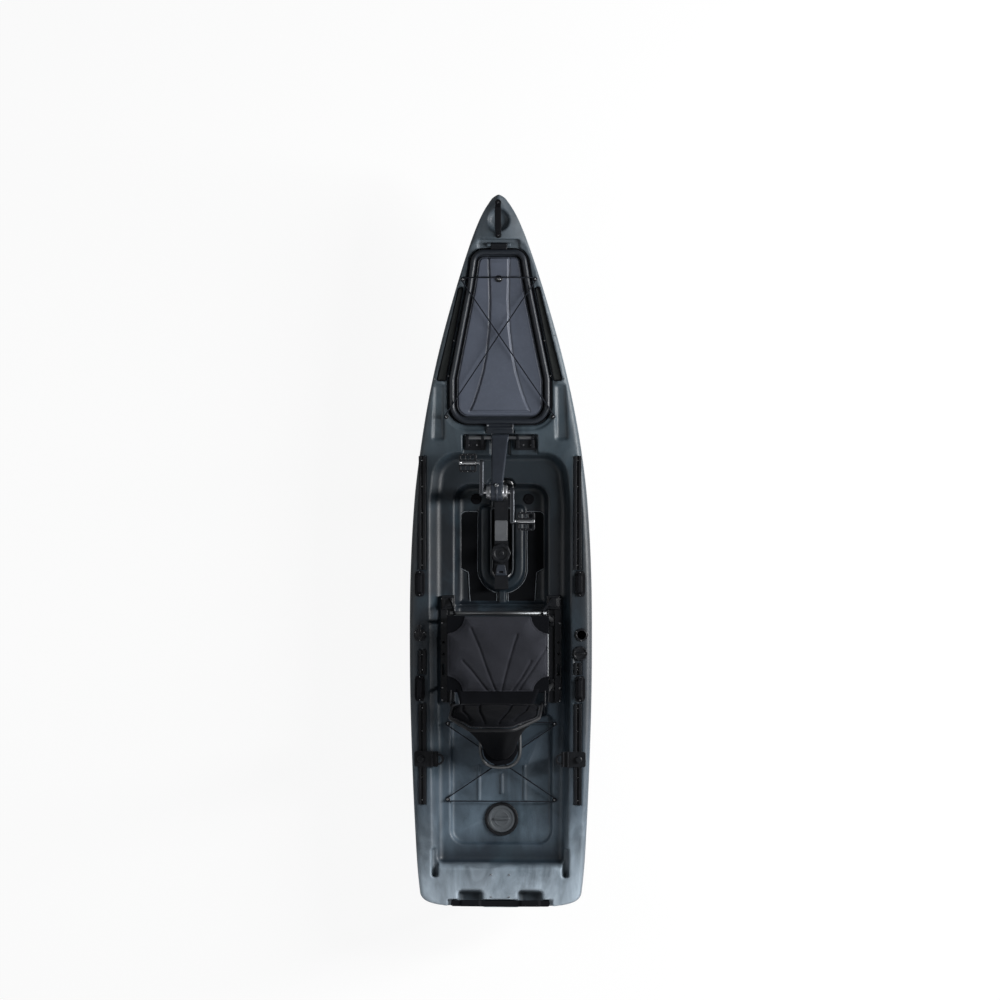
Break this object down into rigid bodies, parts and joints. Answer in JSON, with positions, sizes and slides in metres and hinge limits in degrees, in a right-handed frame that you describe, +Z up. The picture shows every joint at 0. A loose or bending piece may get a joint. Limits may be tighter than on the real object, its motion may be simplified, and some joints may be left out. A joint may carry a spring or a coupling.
{
  "type": "pedal kayak",
  "caption": "Sit-on-top fishing kayak with a pedal-driven propeller that lifts through a tunnel, framed sliding seat, bow hatch, tank well, gunwale tracks and carry handles.",
  "frame": {"origin": "on the flat of the keel under the seat, where the hull bottom rests on a cradle or water line support", "axes": "+Y towards the bow, +X to starboard, +Z up"},
  "size_m": [1.0454, 4.06, 1.2625],
  "materials": {
    "marbled_hull": "marbled rotomoulded polyethylene, satin",
    "black_plastic": "black moulded plastic, satin",
    "grey_plastic": "grey moulded plastic",
    "light_plate": "light grey moulded plate",
    "foam": "closed-cell foam mat",
    "rubber": "soft black rubber",
    "fabric": "charcoal woven polyester",
    "cord": "black braided shock cord",
    "aluminium": "satin anodised tube",
    "steel": "stainless steel"
  },
  "bodies": {
    "boat": {"hull": "marbled_hull", "bow_handle": "rubber", "hatch_gasket": "rubber", "hatch_pin": "steel", "tank_cord": "cord", "side_net_right": "fabric", "side_net_left": "fabric", "rod_holder_tube": "black_plastic", "foot_pad_right": "foam", "foot_pad_left": "foam", "scupper_plug_right": "rubber", "scupper_plug_left": "rubber", "seat_rail_right": "black_plastic", "seat_rail_left": "black_plastic", "stern_hatch_ring": "black_plastic", "stern_grab_bar": "rubber", "drive_saddle_right": "black_plastic", "drive_saddle_left": "black_plastic", "side_handle_front_right": "rubber", "side_handle_front_left": "rubber", "side_handle_rear_right": "rubber", "side_handle_rear_left": "rubber", "track_front_right": "black_plastic", "track_front_left": "black_plastic", "track_middle_right": "black_plastic", "track_middle_left": "black_plastic", "track_rear_right": "black_plastic", "track_rear_left": "black_plastic"},
    "bow_lid": {"bow_hatch_lid": "black_plastic", "hatch_latch": "steel", "bow_cord": "cord"},
    "stern_lid": {"stern_hatch_lid": "grey_plastic"},
    "cap": {"deck_cap": "black_plastic"},
    "steering": {"steering_lever": "black_plastic"},
    "rudder": {"rudder": "black_plastic"},
    "clip_right": {"paddle_clip_right": "black_plastic"},
    "clip_left": {"paddle_clip_left": "black_plastic"},
    "drive": {"drive_pivot_bar": "steel", "drive_case": "black_plastic", "bearing_cap_right": "aluminium", "bearing_cap_left": "aluminium", "drive_leg": "black_plastic", "lower_gearcase": "black_plastic", "drive_rail": "black_plastic", "rail_plate": "light_plate"},
    "knob": {"hold_down_knob": "black_plastic"},
    "latch": {"rail_latch": "black_plastic"},
    "crank": {"crank_axle": "steel", "crank_arm_right": "black_plastic", "crank_arm_left": "black_plastic"},
    "pedal_right": {"pedal_right": "black_plastic"},
    "pedal_left": {"pedal_left": "black_plastic"},
    "mast": {"mast_shaft": "steel"},
    "screw": {"propeller": "black_plastic"},
    "seat": {"seat_frame": "aluminium", "seat_pan": "fabric", "rear_pouch": "fabric"},
    "back": {"back_frame": "aluminium", "back_pad": "fabric"}
  },
  "joints": [
    {"name": "bow_lid_hinge", "type": "hinge", "parent": "boat", "child": "bow_lid", "pos_m": [0, 2.345, 0.40498], "axis": [-1, 0, 0], "range_deg": [0, 70]},
    {"name": "stern_lid_twist", "type": "hinge", "parent": "boat", "child": "stern_lid", "pos_m": [0, -0.93, 0.215], "axis": [0, 0, 1], "range_deg": [0, 60]},
    {"name": "cap_twist", "type": "hinge", "parent": "boat", "child": "cap", "pos_m": [0.458, 0.02, 0.33], "axis": [0, 0, 1], "range_deg": [0, 90]},
    {"name": "steering_turn", "type": "hinge", "parent": "boat", "child": "steering", "pos_m": [-0.459, 0.124, 0.33], "axis": [0, 0, 1], "range_deg": [-35, 35]},
    {"name": "rudder_turn", "type": "hinge", "parent": "boat", "child": "rudder", "pos_m": [0, -1.318, 0], "axis": [0, 0, 1], "range_deg": [-35, 35]},
    {"name": "clip_slide_right", "type": "slide", "parent": "boat", "child": "clip_right", "axis": [0, 1, 0], "range_m": [-0.2, 0.25]},
    {"name": "clip_slide_left", "type": "slide", "parent": "boat", "child": "clip_left", "axis": [0, 1, 0], "range_m": [-0.2, 0.25]},
    {"name": "drive_lift", "type": "hinge", "parent": "boat", "child": "drive", "pos_m": [0, 1.25, 0.322], "axis": [-1, 0, 0], "range_deg": [0, 55]},
    {"name": "knob_turn", "type": "hinge", "parent": "drive", "child": "knob", "pos_m": [0, 0.589, 0.245], "axis": [0, 0, 1], "range_deg": [0, 90]},
    {"name": "latch_flip", "type": "hinge", "parent": "drive", "child": "latch", "pos_m": [0, 0.462, 0.245], "axis": [1, 0, 0], "range_deg": [0, 60]},
    {"name": "crank_spin", "type": "hinge", "parent": "drive", "child": "crank", "pos_m": [0, 0.939, 0.545], "axis": [1, 0, 0], "continuous": true},
    {"name": "pedal_spin_right", "type": "hinge", "parent": "crank", "child": "pedal_right", "pos_m": [0.165, 0.774, 0.545], "axis": [1, 0, 0], "continuous": true},
    {"name": "pedal_spin_left", "type": "hinge", "parent": "crank", "child": "pedal_left", "pos_m": [-0.165, 1.104, 0.545], "axis": [1, 0, 0], "continuous": true},
    {"name": "mast_spin", "type": "hinge", "parent": "drive", "child": "mast", "pos_m": [0, 0.939, 0.4], "axis": [0, 0, 1], "continuous": true},
    {"name": "screw_spin", "type": "hinge", "parent": "drive", "child": "screw", "pos_m": [0, 0.82, -0.2], "axis": [0, 1, 0], "continuous": true},
    {"name": "seat_slide", "type": "slide", "parent": "boat", "child": "seat", "axis": [0, 1, 0], "range_m": [-0.06, 0.08]},
    {"name": "back_recline", "type": "hinge", "parent": "seat", "child": "back", "pos_m": [0, -0.264, 0.5], "axis": [1, 0, 0], "range_deg": [-8, 20]}
  ],
  "couplings": [
    {"joint": "rudder_turn", "follows": "steering_turn", "ratio": 1},
    {"joint": "mast_spin", "follows": "crank_spin", "ratio": 3},
    {"joint": "screw_spin", "follows": "crank_spin", "ratio": 9}
  ]
}
